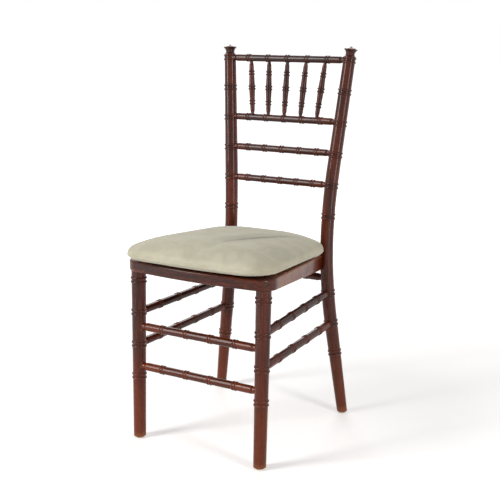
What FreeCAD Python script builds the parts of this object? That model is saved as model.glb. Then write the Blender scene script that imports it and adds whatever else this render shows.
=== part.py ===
import FreeCAD, Part
import math
import os

# Chiavari chair with a loose seat cushion, millimetres.
# +Z is up, the chair faces -Y, +X is to the right of someone who looks along +Y.
# The origin is on the floor, under the middle of the chair's width and depth.

V = FreeCAD.Vector
UP = V(0, 0, 1)

# Floor glides
glide_height = 5.0
glide_radius = 10.0
glide_edge = 1.6
nail_radius = 1.5
nail_head_radius = 3.6
nail_head_height = 1.2
nail_head_recess = 1.6
nail_head_clearance = 0.2
nail_length = 20.0

# Seat frame: an outline seen from above, cut between two sloping planes
seat_half_width = 200.3
seat_front_y = -224.0
seat_front_bow = 22.0
seat_corner_radius = 42.0
seat_rear_half_width = 130.0
seat_rear_y = 188.0
seat_rail_width = 30.0
seat_ref_y = -181.0
seat_under_z = 413.0
seat_under_slope = 0.115
seat_thickness = 27.0
seat_slope = 0.08
seat_edge_round = 4.5
seat_inner_corner = 12.0
seat_joint_inset = 75.0
seat_tongue_length = 16.0
seat_tongue_width = 10.0
seat_tongue_height = 9.0
seat_tongue_rise = 4.0
seat_tongue_root = 6.0
seat_rear_rail_width = 30.0
rear_dowel_radius = 4.0
rear_dowel_length = 12.0
rear_dowel_spread = 20.0
rear_dowel_root = 8.0
joint_clearance = 0.1
post_notch_clearance = 0.1

# Front legs: inset of the axis from the seat's widest line and front, and its spread at the floor
leg_inset_x = 29.8
leg_inset_y = 43.3
leg_spread_x = -1.5
leg_spread_y = -19.0
leg_top_radius = 17.2
leg_foot_radius = 14.8
leg_pair_top = 390.0
leg_pair_spacing = 78.0
leg_pair_count = 4
leg_tenon_radius = 10.0
leg_tenon_length = 14.0

# Rear posts: two straight runs that meet at a virtual corner, blended by an arc. The corner lies
# beside the rear end of the seat frame. The posts' length is measured along them from the floor,
# the upper bead pairs down from their top and the lower pairs up from the floor.
bend_outset_x = 0.8
bend_inset_y = 22.1
bend_z = 421.8
bend_blend = 200.0
lower_out = 0.128
lower_back = 0.041
upper_out = 0.084
upper_back = 0.132
post_foot_radius = 13.0
post_bend_radius = 16.2
post_top_radius = 14.6
post_length = 898.0
post_pair_drop = 8.6
post_pair_spacing = 75.8
post_pair_count = 6
post_low_pair_first = 162.0
post_low_pair_spacing = 78.0
post_low_pair_count = 3

# Turned cap on each post
cap_neck_radius = 10.6
cap_neck_rise = 5.5
cap_rim_radius = 14.6
cap_rim_rise = 14.5
cap_rim_height = 3.4
cap_dome_rise = 3.2
cap_button_radius = 3.6
cap_button_rise = 2.2
cap_tip_radius = 0.9
# Shares of the way along and across that each curve of the cap has gone at its middle point
cap_neck_curve = (0.45, 0.72)
cap_flare_curve = (0.62, 0.36)
cap_dome_curve = (0.72, 0.46)
cap_button_curve = (0.66, 0.21)

# Turned beads, always in pairs
bead_width = 5.6
bead_gap = 4.0
bead_margin = 2.0
leg_bead_rise = 2.0
rail_bead_rise = 1.4
spindle_bead_rise = 1.9
rail_bead_width = 4.6
rail_bead_gap = 2.6

# Joints between turned pieces
tenon_depth = 13.0
tenon_clearance = 0.1
tenon_end_gap = 0.3
taper_length = 5.0
taper_margin = 2.0
rail_tenon_radius = 7.4
rung_tenon_radius = 8.2
spindle_tenon_radius = 4.0
spindle_tenon_depth = 5.0

# Back rails, numbered from the top by the post bead pair that they enter
# and raised a little from its middle
back_rail_pair_numbers = {"top": 0, "second": 2, "third": 3, "fourth": 4}
back_rail_raise = {"top": 0.0, "second": 3.4, "third": 2.8, "fourth": 0.5}
back_rail_radius = 8.7
back_rail_nodes = 5

# Spindles between the two upper rails
spindle_count = 5
spindle_top_pitch = 52.8
spindle_low_pitch = 45.5
spindle_end_radius = 5.6
spindle_mid_radius = 7.7
spindle_low_radius = 6.2
spindle_neck_length = 1.5
spindle_end_taper = 7.0
spindle_pair_shares = (0.25, 0.5, 0.75)
spindle_low_shares = (0.27, 0.73)

# Rungs between the legs
rung_radius = 9.5
rung_nodes = 4
side_rung_leg_pair_numbers = {"upper": 1, "lower": 2}
side_rung_post_pair_numbers = {"upper": 0, "lower": 1}
front_rung_heights = {"upper": 278.5, "lower": 181.0}
rear_rung_height = 352.0

# Seat board in its rebate
board_thickness = 9.0
board_recess = 0.5
rebate_width = 12.0
board_side_clearance = 0.4

# Screws
board_screw_radius = 1.8
board_screw_head_radius = 3.6
board_screw_head_height = 2.2
board_screw_length = 18.0
board_screw_inset = 25.0
board_screw_rim = 0.4
board_screw_tip = 3.0
board_screw_side_y = (-106.0, 4.0, 114.0)
board_screw_front_x = 90.0
board_screw_rear_x = 55.0
leg_screw_radius = 2.5
leg_screw_head_radius = 4.7
leg_screw_head_height = 3.6
leg_screw_length = 46.0
leg_screw_pocket = 9.5
leg_screw_pocket_clearance = 0.4
seat_bolt_radius = 3.0
seat_bolt_head_radius = 5.0
seat_bolt_head_height = 5.0
seat_bolt_length = 66.0
bolt_plug_height = 4.0
bolt_plug_gap = 0.3
barrel_nut_radius = 5.0
barrel_nut_length = 16.0
barrel_nut_from_tip = 9.0
screw_clearance = 0.05

# Cushion, measured from the seat's top plane. It lies loose, a little turned and to one side.
cushion_shift_x = 5.6
cushion_turn = 2.0
cushion_inset = 1.3
cushion_rear_outset = 27.8
cushion_front_overhang = 20.4
cushion_front_bow = 8.0
cushion_rear_inset = 18.0
cushion_front_corner = 66.0
cushion_rear_corner = 71.0
cushion_crown_corner_share = 0.82
cushion_crown_corner_more = 20.0
cushion_lift = 3.4
cushion_post_clearance = 1.5
cover_thickness = 1.2
cover_clearance = 0.2
base_thickness = 6.0
base_inset = 40.5
under_cloth_thickness = 0.8
under_cloth_inset = 43.0
# Height above the cushion's underside and inset from its widest line
cushion_profile = [
    (0.0, 39.0),
    (1.1, 23.0),
    (3.3, 11.5),
    (7.0, 3.0),
    (11.3, 0.0),
    (17.5, 0.6),
    (23.5, 2.5),
    (28.0, 5.8),
    (32.0, 12.0),
    (38.6, 25.0),
    (44.4, 39.0),
    (49.4, 55.0),
    (53.8, 78.5),
    (55.6, 102.0),
    (56.0, 125.0),
]
pad_length = 50.0
pad_width = 20.0
pad_gap = 0.3
pad_front_x = 112.0
pad_front_inset = 83.0
pad_rear_x = 58.0
pad_rear_inset = 84.0

# Working sizes that shape nothing: how far a cutting form runs past what it cuts, how far two
# pieces of one solid reach into each other, a block larger than the chair, and a length of nothing
tool_reach = 60.0
overlap = 1.0
block_size = 3000.0
tiny = 0.01

parts = {}


def save(name, shapes):
    """Write one node; several solids of a node go into one compound."""
    solids = shapes if isinstance(shapes, list) else [shapes]
    shape = solids[0] if len(solids) == 1 else Part.makeCompound(solids)
    parts[name] = shape
    shape.exportStep("parts/" + name + ".step")


def frame_at(origin, direction, hint=None):
    """A placement whose local Z runs along direction, with local X as near to hint as it can be."""
    axis_z = V(direction).normalize()
    if hint is None:
        hint = V(0, 1, 0) if abs(axis_z.x) > 0.7 else V(1, 0, 0)
    axis_x = hint - axis_z * hint.dot(axis_z)
    axis_x.normalize()
    axis_y = axis_z.cross(axis_x)
    matrix = FreeCAD.Matrix(
        axis_x.x, axis_y.x, axis_z.x, origin.x,
        axis_x.y, axis_y.y, axis_z.y, origin.y,
        axis_x.z, axis_y.z, axis_z.z, origin.z,
        0, 0, 0, 1)
    return FreeCAD.Placement(matrix)


def rod(start, direction, length, radius):
    return Part.makeCylinder(radius, length, start, direction)


def turned(steps, origin, direction, hint=None):
    """Turn a profile about its axis. A step is a point (along, radius) or an arc (via, end)."""
    here = V(steps[0][1], 0, steps[0][0])
    first = here
    edges = []
    for step in steps[1:]:
        if isinstance(step[0], tuple):
            via = V(step[0][1], 0, step[0][0])
            there = V(step[1][1], 0, step[1][0])
            edges.append(Part.Arc(here, via, there).toShape())
        else:
            there = V(step[1], 0, step[0])
            edges.append(Part.LineSegment(here, there).toShape())
        here = there
    foot = V(0, 0, first.z)
    tip = V(0, 0, here.z)
    edges.append(Part.LineSegment(here, tip).toShape())
    edges.append(Part.LineSegment(tip, foot).toShape())
    edges.append(Part.LineSegment(foot, first).toShape())
    solid = Part.Face(Part.Wire(edges)).revolve(V(0, 0, 0), UP, 360)
    solid.Placement = frame_at(origin, direction, hint)
    return solid


def curved(start, end, curve):
    """An arc step between two (along, radius) points that has gone curve's shares at its middle."""
    along = start[0] + (end[0] - start[0]) * curve[0]
    radius = start[1] + (end[1] - start[1]) * curve[1]
    return (along, radius), end


def bead_pair(middle, radius_at, rise, width, gap):
    """Profile steps of two round beads with a short neck between them."""
    steps = []
    for start in (middle - gap / 2 - width, middle + gap / 2):
        end = start + width
        steps.append((start, radius_at(start)))
        steps.append(((start + width / 2, radius_at(start + width / 2) + rise), (end, radius_at(end))))
    return steps


def between(table, value):
    """Straight-line interpolation in a list of (position, value) pairs."""
    for (low, first), (high, second) in zip(table, table[1:]):
        if value <= high:
            return first + (second - first) * (value - low) / (high - low)
    return table[-1][1]


# Front legs

def leg_axis(side, z):
    share = (leg_pair_top - z) / leg_pair_top
    x = seat_half_width - leg_inset_x + leg_spread_x * share
    return V(side * x, leg_top_y() + leg_spread_y * share, z)


def leg_top_y():
    return seat_front_y + leg_inset_y


def leg_pair_z(pair):
    return leg_pair_top - pair * leg_pair_spacing


def under_plane(y):
    return seat_under_z - seat_under_slope * (y - seat_ref_y)


def top_plane(y):
    return seat_under_z + seat_thickness - seat_slope * (y - seat_ref_y)


def leg_radius(z):
    return leg_foot_radius + (leg_top_radius - leg_foot_radius) * z / leg_pair_top


def front_leg(side):
    foot = leg_axis(side, 0)
    direction = leg_axis(side, leg_pair_top) - foot
    direction.normalize()
    length = under_plane(leg_top_y()) / direction.z

    def radius_at(along):
        return leg_radius(along * direction.z)

    steps = [(0, radius_at(0))]
    for pair in reversed(range(leg_pair_count)):
        steps += bead_pair(leg_pair_z(pair) / direction.z, radius_at, leg_bead_rise, bead_width, bead_gap)
    steps.append((length + leg_top_radius, radius_at(length)))
    leg = turned(steps, foot, direction)
    leg = leg.cut(below_plane(glide_height))
    leg = leg.cut(over_seat_underside())
    root = foot + direction * (length - overlap)
    tenon = rod(root, direction, leg_tenon_length + overlap, leg_tenon_radius)
    leg = leg.fuse(tenon)
    return leg.removeSplitter()


def below_plane(z):
    size = block_size
    return Part.makeBox(size, size, size, V(-size / 2, -size / 2, z - size))


def over_seat_underside():
    """Everything above the seat frame's sloping underside."""
    return half_space(seat_under_z, seat_under_slope)


def half_space(z_at_ref, slope):
    size = block_size / 2
    low = seat_ref_y - size
    high = seat_ref_y + size
    corners = [
        V(-size, low, z_at_ref + slope * size),
        V(-size, high, z_at_ref - slope * size),
        V(-size, high, z_at_ref + size),
        V(-size, low, z_at_ref + size),
    ]
    face = Part.Face(Part.makePolygon(corners + corners[:1]))
    return face.extrude(V(2 * size, 0, 0))


# Rear posts

def post_pairs():
    """Places along the post of its upper and lower bead pairs, from the top down."""
    top = post_length - post_pair_drop
    upper = [top - pair * post_pair_spacing for pair in range(post_pair_count)]
    lower = [post_low_pair_first + pair * post_low_pair_spacing for pair in range(post_low_pair_count)]
    return upper, lower[::-1]


def post_runs():
    """The right post's centreline from the floor up, as straight and bent runs in turn.

    Each run is (start, end, point, direction, bend radius or 0). The post is straight through every
    bead pair, and all of the bend lies in the arcs between them.
    """
    corner = V(seat_rear_half_width + bend_outset_x, seat_rear_y - bend_inset_y, bend_z)
    down = V(lower_out, lower_back, -1).normalize()
    up = V(upper_out, upper_back, 1).normalize()
    turn = math.pi - down.getAngle(up)
    tangent = bend_blend / up.z
    floor = corner + down * (bend_z / -down.z)
    bend_start = (corner - floor).Length - tangent
    bend_end = bend_start + turn * tangent / math.tan(turn / 2)
    half = pair_half_length()
    upper, lower = post_pairs()
    inside = [pair for pair in sorted(upper + lower) if bend_start < pair - half and pair + half < bend_end]
    arc_length = bend_end - bend_start - 2 * half * len(inside)
    radius = arc_length / turn
    toward = post_bend_side()
    spans = [(0, bend_start, 0)]
    here = bend_start
    for pair in inside:
        spans.append((here, pair - half, radius))
        spans.append((pair - half, pair + half, 0))
        here = pair + half
    spans.append((here, bend_end, radius))
    spans.append((bend_end, post_length, 0))
    runs = []
    point = floor
    direction = down * -1
    for start, end, bend in spans:
        runs.append((start, end, point, direction, bend))
        point, direction = walk(point, direction, end - start, bend, toward)
    return runs


def pair_half_length():
    return bead_width + bead_gap / 2 + bead_margin


def post_bend_side():
    """The axis that the post bends about, as a unit vector."""
    down = V(lower_out, lower_back, -1).normalize()
    up = V(upper_out, upper_back, 1).normalize()
    return (down * -1).cross(up).normalize()


def walk(point, direction, length, bend, axis):
    """Go on from a point for a length, straight or along an arc about the axis."""
    if bend == 0:
        return point + direction * length, direction
    angle = length / bend
    side = axis.cross(direction)
    ahead = direction * math.sin(angle) + side * (1 - math.cos(angle))
    turned_direction = direction * math.cos(angle) + side * math.sin(angle)
    return point + ahead * bend, turned_direction


POST_RUNS = post_runs()


def post_at(along):
    """Point and direction on the right post's centreline."""
    for run in POST_RUNS:
        if along <= run[1]:
            break
    start, _, point, direction, bend = run
    if along < 0:
        bend = 0
    return walk(point, direction, along - start, bend, post_bend_side())


def post_along(z):
    """Where along the centreline the post reaches height z."""
    low = -tool_reach
    high = post_length + tool_reach
    for _ in range(50):
        middle = (low + high) / 2
        if post_at(middle)[0].z < z:
            low = middle
        else:
            high = middle
    return (low + high) / 2


def post_radius(along):
    bend_start = POST_RUNS[0][1]
    bend_end = POST_RUNS[-1][0]
    table = [
        (0, post_foot_radius),
        (bend_start, post_bend_radius),
        (bend_end, post_bend_radius),
        (post_length, post_top_radius),
    ]
    return between(table, along)


def turned_stretch(low, high, beads, extra=0.0):
    """A straight stretch of the post, turned with the bead pairs that lie on it."""
    start, direction = post_at(low)

    def radius_at(along):
        return post_radius(low + along) + extra

    steps = [(0, radius_at(0))]
    for pair in sorted(beads):
        steps += bead_pair(pair - low, radius_at, leg_bead_rise, bead_width, bead_gap)
    steps.append((high - low, radius_at(high - low)))
    return turned(steps, start, direction, post_bend_side())


def bent_stretch(low, high, bend, extra=0.0):
    """An arc of the post's bend."""
    start, direction = post_at(low)
    axis = post_bend_side()
    centre = start + axis.cross(direction) * bend
    disc = Part.Face(Part.Wire(Part.Circle(V(0, 0, 0), UP, post_radius(low) + extra).toShape()))
    disc.Placement = frame_at(start, direction, axis)
    return disc.revolve(centre, axis, math.degrees((high - low) / bend))


def post_cap():
    """The turned cap: neck, flared rim, dome and button."""
    base, direction = post_at(post_length)
    radius = post_radius(post_length)
    neck = cap_neck_rise
    rim = cap_rim_rise
    rim_top = rim + cap_rim_height
    dome = rim_top + cap_dome_rise
    tip = dome + cap_button_rise
    steps = [
        (0, radius),
        curved((0, radius), (neck, cap_neck_radius), cap_neck_curve),
        curved((neck, cap_neck_radius), (rim, cap_rim_radius), cap_flare_curve),
        ((rim + cap_rim_height / 2, cap_rim_radius + cap_rim_height / 2), (rim_top, cap_rim_radius)),
        curved((rim_top, cap_rim_radius), (dome, cap_button_radius), cap_dome_curve),
        curved((dome, cap_button_radius), (tip, cap_tip_radius), cap_button_curve),
    ]
    return turned(steps, base, direction, post_bend_side())


def post_pieces(low, high, with_beads, extra=0.0):
    """The post between two places along it, as pieces that meet end to end."""
    upper, lower = post_pairs()
    pieces = []
    for start, end, _, _, bend in POST_RUNS:
        first = max(start, low) if start > 0 else low
        last = min(end, high)
        if last - first < tiny:
            continue
        if bend > 0:
            pieces.append(bent_stretch(first, last, bend, extra))
        else:
            beads = [pair for pair in upper + lower if first < pair < last] if with_beads else []
            pieces.append(turned_stretch(first, last, beads, extra))
    return pieces


def right_post():
    pieces = post_pieces(-tool_reach, post_length, True)
    pieces.append(post_cap())
    post = pieces[0].multiFuse(pieces[1:])
    return post.cut(below_plane(glide_height))


def mirrored(shape):
    return shape.mirror(V(0, 0, 0), V(1, 0, 0))


def post_point(side, along):
    point, _ = post_at(along)
    return V(side * point.x, point.y, point.z)


# Turned rails, rungs and spindles

def turned_bar(start, end, start_gap, end_gap, nodes, body_radius, tenon_radius, rise):
    """A bar between two points on the axes of what holds it, with evenly spaced bead pairs.

    start_gap and end_gap are the distances from those axes to the tenons' ends.
    """
    direction = end - start
    span = direction.Length
    direction.normalize()
    low = start_gap
    high = span - end_gap
    reach = tenon_depth + leg_bead_rise + taper_margin

    def radius_at(along):
        edge = min(along - low, high - along) - reach
        share = min(max(edge / taper_length, 0), 1)
        return tenon_radius + (body_radius - tenon_radius) * share

    steps = [(low, tenon_radius), (low + reach, tenon_radius), (low + reach + taper_length, body_radius)]
    for node in range(1, nodes + 1):
        middle = low + (high - low) * node / (nodes + 1)
        steps += bead_pair(middle, radius_at, rise, rail_bead_width, rail_bead_gap)
    steps.append((high - reach - taper_length, body_radius))
    steps += [(high - reach, tenon_radius), (high, tenon_radius)]
    bar = turned(steps, start, direction)
    return bar, tenon_sockets(start, direction, low, high, tenon_radius)


def tenon_sockets(start, direction, low, high, radius):
    """The two round holes that a bar's tenons sit in, for the bar from low to high along its axis."""
    first = start + direction * (low - tenon_end_gap)
    last = start + direction * (high + tenon_end_gap)
    bore = radius + tenon_clearance
    return [rod(first, direction, tool_reach, bore), rod(last, direction * -1, tool_reach, bore)]


def spindle(top, bottom):
    """A spindle: thin ends, fuller middle, three bead pairs; it stands in both rails."""
    direction = bottom - top
    span = direction.Length
    direction.normalize()
    low = back_rail_radius - spindle_tenon_depth
    high = span - low
    shoulder = back_rail_radius + spindle_neck_length
    table = [
        (low, spindle_tenon_radius),
        (shoulder, spindle_tenon_radius),
        (shoulder + spindle_end_taper, spindle_end_radius),
        (span * spindle_low_shares[0], spindle_low_radius),
        (span / 2, spindle_mid_radius),
        (span * spindle_low_shares[1], spindle_low_radius),
        (span - shoulder - spindle_end_taper, spindle_end_radius),
        (span - shoulder, spindle_tenon_radius),
        (high, spindle_tenon_radius),
    ]

    def radius_at(along):
        return between(table, along)

    pairs = [span * share for share in spindle_pair_shares]
    half = rail_bead_width + rail_bead_gap / 2 + tiny
    steps = []
    for along, radius in table:
        if not any(abs(along - middle) < half for middle in pairs):
            steps.append((along, radius))
    for middle in pairs:
        pair = bead_pair(middle, radius_at, spindle_bead_rise, rail_bead_width, rail_bead_gap)
        place = sum(1 for step in steps if flat_position(step) < middle)
        steps[place:place] = pair
    bar = turned(steps, top, direction)
    return bar, tenon_sockets(top, direction, low, high, spindle_tenon_radius)


def flat_position(step):
    return step[1][0] if isinstance(step[0], tuple) else step[0]


# Seat frame

def seat_outline(width, front, bow, rear_width, rear, corner, rear_corner,
                 inset=0.0, rear_inset=None, z=0.0):
    """A closed outline: bowed front, round front corners, tapering sides, straight rear."""
    if rear_inset is None:
        rear_inset = inset
    bow_radius = (width ** 2 + bow ** 2) / (2 * bow)
    bow_centre = V(0, front + bow_radius, 0)
    side_start = V(width, front + bow, 0)
    along = (V(rear_width, rear, 0) - side_start).normalize()
    inward = V(-along.y, along.x, 0)
    base = side_start + inward * (inset + corner)
    reach = bow_radius - inset - corner
    offset = base - bow_centre
    dot = offset.dot(along)
    travel = -dot - math.sqrt(dot ** 2 - offset.dot(offset) + reach ** 2)
    centre = base + along * travel
    on_side = centre - inward * corner
    on_front = bow_centre + (centre - bow_centre) * ((bow_radius - inset) / reach)
    bulge = (on_side + on_front - centre * 2).normalize()
    corner_middle = centre + bulge * corner
    front_middle = V(0, front + inset, 0)
    rear_base = side_start + inward * (inset + rear_corner)
    rear_y = rear - rear_inset
    rear_centre = rear_base + along * ((rear_y - rear_corner - rear_base.y) / along.y)
    side_end = rear_centre - inward * rear_corner
    on_rear = V(rear_centre.x, rear_y, 0)

    def at(point, side):
        return V(side * point.x, point.y, z)

    edges = [
        Part.Arc(at(on_front, -1), at(front_middle, 1), at(on_front, 1)).toShape(),
        Part.Arc(at(on_front, 1), at(corner_middle, 1), at(on_side, 1)).toShape(),
        Part.LineSegment(at(on_side, 1), at(side_end, 1)).toShape(),
    ]
    if rear_corner > 0:
        rear_bulge = (side_end + on_rear - rear_centre * 2).normalize()
        rear_middle = rear_centre + rear_bulge * rear_corner
        edges.append(Part.Arc(at(side_end, 1), at(rear_middle, 1), at(on_rear, 1)).toShape())
    edges.append(Part.LineSegment(at(on_rear, 1), at(on_rear, -1)).toShape())
    if rear_corner > 0:
        edges.append(Part.Arc(at(on_rear, -1), at(rear_middle, -1), at(side_end, -1)).toShape())
    edges += [
        Part.LineSegment(at(side_end, -1), at(on_side, -1)).toShape(),
        Part.Arc(at(on_side, -1), at(corner_middle, -1), at(on_front, -1)).toShape(),
    ]
    return Part.Wire(edges)


def frame_prism(inset, corner, rear_inset=None):
    """A tall prism over the seat frame's outline, set in by inset."""
    low = under_plane(seat_rear_y) - tool_reach
    wire = seat_outline(
        seat_half_width, seat_front_y, seat_front_bow, seat_rear_half_width, seat_rear_y,
        corner, 0, inset, rear_inset, low)
    return Part.Face(wire).extrude(V(0, 0, top_plane(seat_front_y) + tool_reach - low))


def over_top_plane(depth=0.0):
    """Everything above the plane that lies depth under the seat frame's top."""
    return half_space(seat_under_z + seat_thickness - depth, seat_slope)


def side_rail_middle_x(y):
    share = (y - seat_front_y - seat_front_bow) / (seat_rear_y - seat_front_y - seat_front_bow)
    outer = seat_half_width + (seat_rear_half_width - seat_half_width) * share
    return outer - seat_rail_width / 2


def seat_joint_y():
    """Where the side rails butt against the front rail."""
    return seat_front_y + seat_joint_inset


def seat_slab():
    slab = frame_prism(0, seat_corner_radius).common(over_seat_underside())
    slab = slab.cut(over_top_plane())
    rounded = []
    for edge in slab.Edges:
        middle = edge.valueAt((edge.FirstParameter + edge.LastParameter) / 2)
        at_top = abs(middle.z - top_plane(middle.y)) < tiny
        at_bottom = abs(middle.z - under_plane(middle.y)) < tiny
        at_rear = abs(middle.y - seat_rear_y) < tiny
        if (at_top or at_bottom) and not at_rear:
            rounded.append(edge)
    return slab.makeFillet(seat_edge_round, rounded)


def seat_ring():
    rebate_depth = board_thickness + board_recess
    ring = seat_slab().cut(frame_prism(seat_rail_width, seat_inner_corner, seat_rear_rail_width))
    rebate_inset = seat_rail_width - rebate_width
    rebate_corner = seat_inner_corner + rebate_width
    rebate = frame_prism(rebate_inset, rebate_corner, seat_rear_rail_width - rebate_width)
    return ring.cut(rebate.common(over_top_plane(rebate_depth)))


def tongue(side, extra=0.0):
    """The side rail's tongue into the front rail, or with extra its socket."""
    middle = side * side_rail_middle_x(seat_joint_y())
    width = seat_tongue_width + 2 * extra
    height = seat_tongue_height + 2 * extra
    low = under_plane(seat_joint_y()) + seat_tongue_rise - extra
    start = seat_joint_y() - seat_tongue_length - extra
    length = seat_tongue_length + extra + seat_tongue_root
    return Part.makeBox(width, length, height, V(middle - width / 2, start, low))


def post_envelope(low_z, high_z, extra):
    """The right post's plain round form between two heights, grown by extra."""
    pieces = post_pieces(post_along(low_z), post_along(high_z), False, extra)
    return pieces[0].multiFuse(pieces[1:]) if len(pieces) > 1 else pieces[0]


def seat_bolt_axis():
    """The point where the bolt's axis crosses the right post's centreline."""
    height = (under_plane(seat_rear_y) + top_plane(seat_rear_y) - board_thickness - board_recess) / 2
    point, _ = post_at(post_along(height))
    return point


def bolt_start():
    """The outer face of the bolt's head, as a distance from the chair's middle."""
    point = seat_bolt_axis()
    return point.x + post_bend_radius - bolt_plug_height - bolt_plug_gap


def rear_dowels(side, extra=0.0):
    """The rear rail's two round tenons on one side, or with extra their sockets."""
    axis = seat_bolt_axis()
    inner = side_rail_middle_x(axis.y) - seat_rail_width / 2
    dowels = []
    for offset in (-rear_dowel_spread / 2, rear_dowel_spread / 2):
        start = V(side * (inner - rear_dowel_root), axis.y, axis.z + offset)
        length = rear_dowel_root + rear_dowel_length + extra
        dowels.append(rod(start, V(side, 0, 0), length, rear_dowel_radius + extra))
    return dowels


def seat_frame_pieces():
    """The front rail, the right side rail and the rear rail, with their joints cut."""
    ring = seat_ring()
    size = block_size
    front_block = Part.makeBox(size, size, size, V(-size / 2, seat_joint_y() - size, 0))
    right_block = Part.makeBox(size, size, size, V(0, -size / 2, 0))
    strip = frame_prism(seat_rail_width, seat_inner_corner, -tool_reach)
    front = ring.common(front_block)
    rest = ring.cut(front_block)
    rear = rest.common(strip)
    right = rest.cut(strip).common(right_block)
    right = right.fuse(tongue(1))
    front = front.cut(tongue(1, joint_clearance)).cut(tongue(-1, joint_clearance))
    rear = rear.multiFuse(rear_dowels(1) + rear_dowels(-1))
    for socket in rear_dowels(1, joint_clearance):
        right = right.cut(socket)
    low = under_plane(seat_rear_y) - tool_reach
    high = top_plane(seat_joint_y()) + tool_reach
    right = right.cut(post_envelope(low, high, post_notch_clearance))
    return front, right, rear


def seat_board():
    inset = seat_rail_width - rebate_width + board_side_clearance
    corner = seat_inner_corner + rebate_width - board_side_clearance
    prism = frame_prism(inset, corner, seat_rear_rail_width - rebate_width + board_side_clearance)
    board = prism.common(over_top_plane(board_recess + board_thickness))
    return board.cut(over_top_plane(board_recess))


# Screws and bolts

def seat_normal():
    return V(0, seat_slope, 1).normalize()


def board_screw_places():
    places = []
    inset = board_screw_inset - seat_rail_width / 2
    bow = seat_front_bow * (board_screw_front_x / seat_half_width) ** 2
    for side in (-1, 1):
        for y in board_screw_side_y:
            places.append((side * (side_rail_middle_x(y) - inset), y))
        places.append((side * board_screw_front_x, seat_front_y + board_screw_inset + bow))
        places.append((side * board_screw_rear_x, seat_rear_y - board_screw_inset))
    return places


def board_screw(x, y, extra=0.0):
    """A countersunk screw flush with the board, or with extra the hole it sits in."""
    top = V(x, y, top_plane(y)) - seat_normal() * board_recess
    head = board_screw_head_radius + extra
    shank = board_screw_radius + extra
    steps = [
        (0, head),
        (board_screw_rim, head),
        (board_screw_head_height, shank),
        (board_screw_length - board_screw_tip + extra, shank),
        (board_screw_length + extra, board_screw_rim + extra),
    ]
    return turned(steps, top, seat_normal() * -1)


def leg_screw(side, extra=0.0):
    """A round-headed screw down through the seat frame into the leg, or its hole."""
    direction = (leg_axis(1, 0) - leg_axis(1, leg_pair_top)).normalize()
    direction.x = side * direction.x
    top = leg_axis(side, top_plane(leg_top_y()) - leg_screw_pocket)
    head = rod(top, direction * -1, leg_screw_head_height, leg_screw_head_radius)
    start = top - direction * overlap
    shank = rod(start, direction, overlap + leg_screw_length + extra, leg_screw_radius + extra)
    return head.fuse(shank) if extra == 0 else shank


def leg_screw_pocket_cut(side):
    direction = (leg_axis(1, leg_pair_top) - leg_axis(1, 0)).normalize()
    direction.x = side * direction.x
    top = leg_axis(side, top_plane(leg_top_y()) - leg_screw_pocket)
    return rod(top, direction, tool_reach, leg_screw_head_radius + leg_screw_pocket_clearance)


def leg_mortise(side, part_of_rail):
    """The round socket for the leg's tenon in the front rail."""
    foot = leg_axis(side, 0)
    direction = (leg_axis(side, leg_pair_top) - foot).normalize()
    length = under_plane(leg_top_y()) / direction.z
    start = foot + direction * (length - tool_reach)
    reach = tool_reach + leg_tenon_length + tenon_end_gap
    return part_of_rail.cut(rod(start, direction, reach, leg_tenon_radius + tenon_clearance))


def seat_bolt(side):
    axis = seat_bolt_axis()
    outer = bolt_start()
    start = V(side * outer, axis.y, axis.z)
    inward = V(-side, 0, 0)
    head = rod(start, inward, seat_bolt_head_height, seat_bolt_head_radius)
    shank = rod(start, inward, seat_bolt_length, seat_bolt_radius)
    return head.fuse(shank)


def seat_bolt_holes():
    """The right bolt's hole: the wide pocket in the post and the hole for the shank."""
    axis = seat_bolt_axis()
    outer = bolt_start()
    inward = V(-1, 0, 0)
    start = V(outer, axis.y, axis.z)
    shank = rod(start, inward, seat_bolt_length + overlap, seat_bolt_radius + screw_clearance)
    mouth = V(outer + tool_reach, axis.y, axis.z)
    depth = tool_reach + seat_bolt_head_height
    pocket = rod(mouth, inward, depth, seat_bolt_head_radius + tenon_clearance)
    return shank, pocket


def bolt_plug():
    """The right plug that covers the bolt's head, cut to the post's round."""
    axis = seat_bolt_axis()
    start = V(bolt_start() + bolt_plug_gap, axis.y, axis.z)
    plug = rod(start, V(1, 0, 0), bolt_plug_height + tool_reach, seat_bolt_head_radius)
    return plug.common(post_envelope(axis.z - tool_reach, axis.z + tool_reach, 0.0))


def barrel_nut_place():
    axis = seat_bolt_axis()
    return V(bolt_start() - seat_bolt_length + barrel_nut_from_tip, axis.y, axis.z)


def barrel_nut():
    place = barrel_nut_place()
    nut = rod(place - UP * (barrel_nut_length / 2), UP, barrel_nut_length, barrel_nut_radius)
    shank, _ = seat_bolt_holes()
    return nut.cut(shank)


def barrel_nut_hole():
    place = barrel_nut_place()
    top = barrel_nut_length / 2 + tenon_end_gap
    return rod(place - UP * tool_reach, UP, tool_reach + top, barrel_nut_radius + tenon_clearance)


# Floor glides

def glide(foot):
    """A domed plastic disc on the floor with a hole for its nail."""
    bevel = glide_edge * (1 - math.sqrt(0.5))
    steps = [
        (0, glide_radius - glide_edge),
        ((bevel, glide_radius - bevel), (glide_edge, glide_radius)),
        (glide_height, glide_radius),
    ]
    disc = turned(steps, V(foot.x, foot.y, 0), UP)
    depth = nail_head_recess + nail_head_height
    recess = rod(V(foot.x, foot.y, 0), UP, depth, nail_head_radius + nail_head_clearance)
    hole = rod(V(foot.x, foot.y, 0), UP, glide_height, nail_radius + screw_clearance)
    return disc.cut(recess).cut(hole)


def glide_nail(foot, extra=0.0):
    low = nail_head_recess
    shank = rod(V(foot.x, foot.y, low), UP, nail_length + 2 * extra, nail_radius + extra)
    if extra > 0:
        return shank
    return shank.fuse(rod(V(foot.x, foot.y, low), UP, nail_head_height, nail_head_radius))


# Cushion, in its own frame on the seat's top plane

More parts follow.
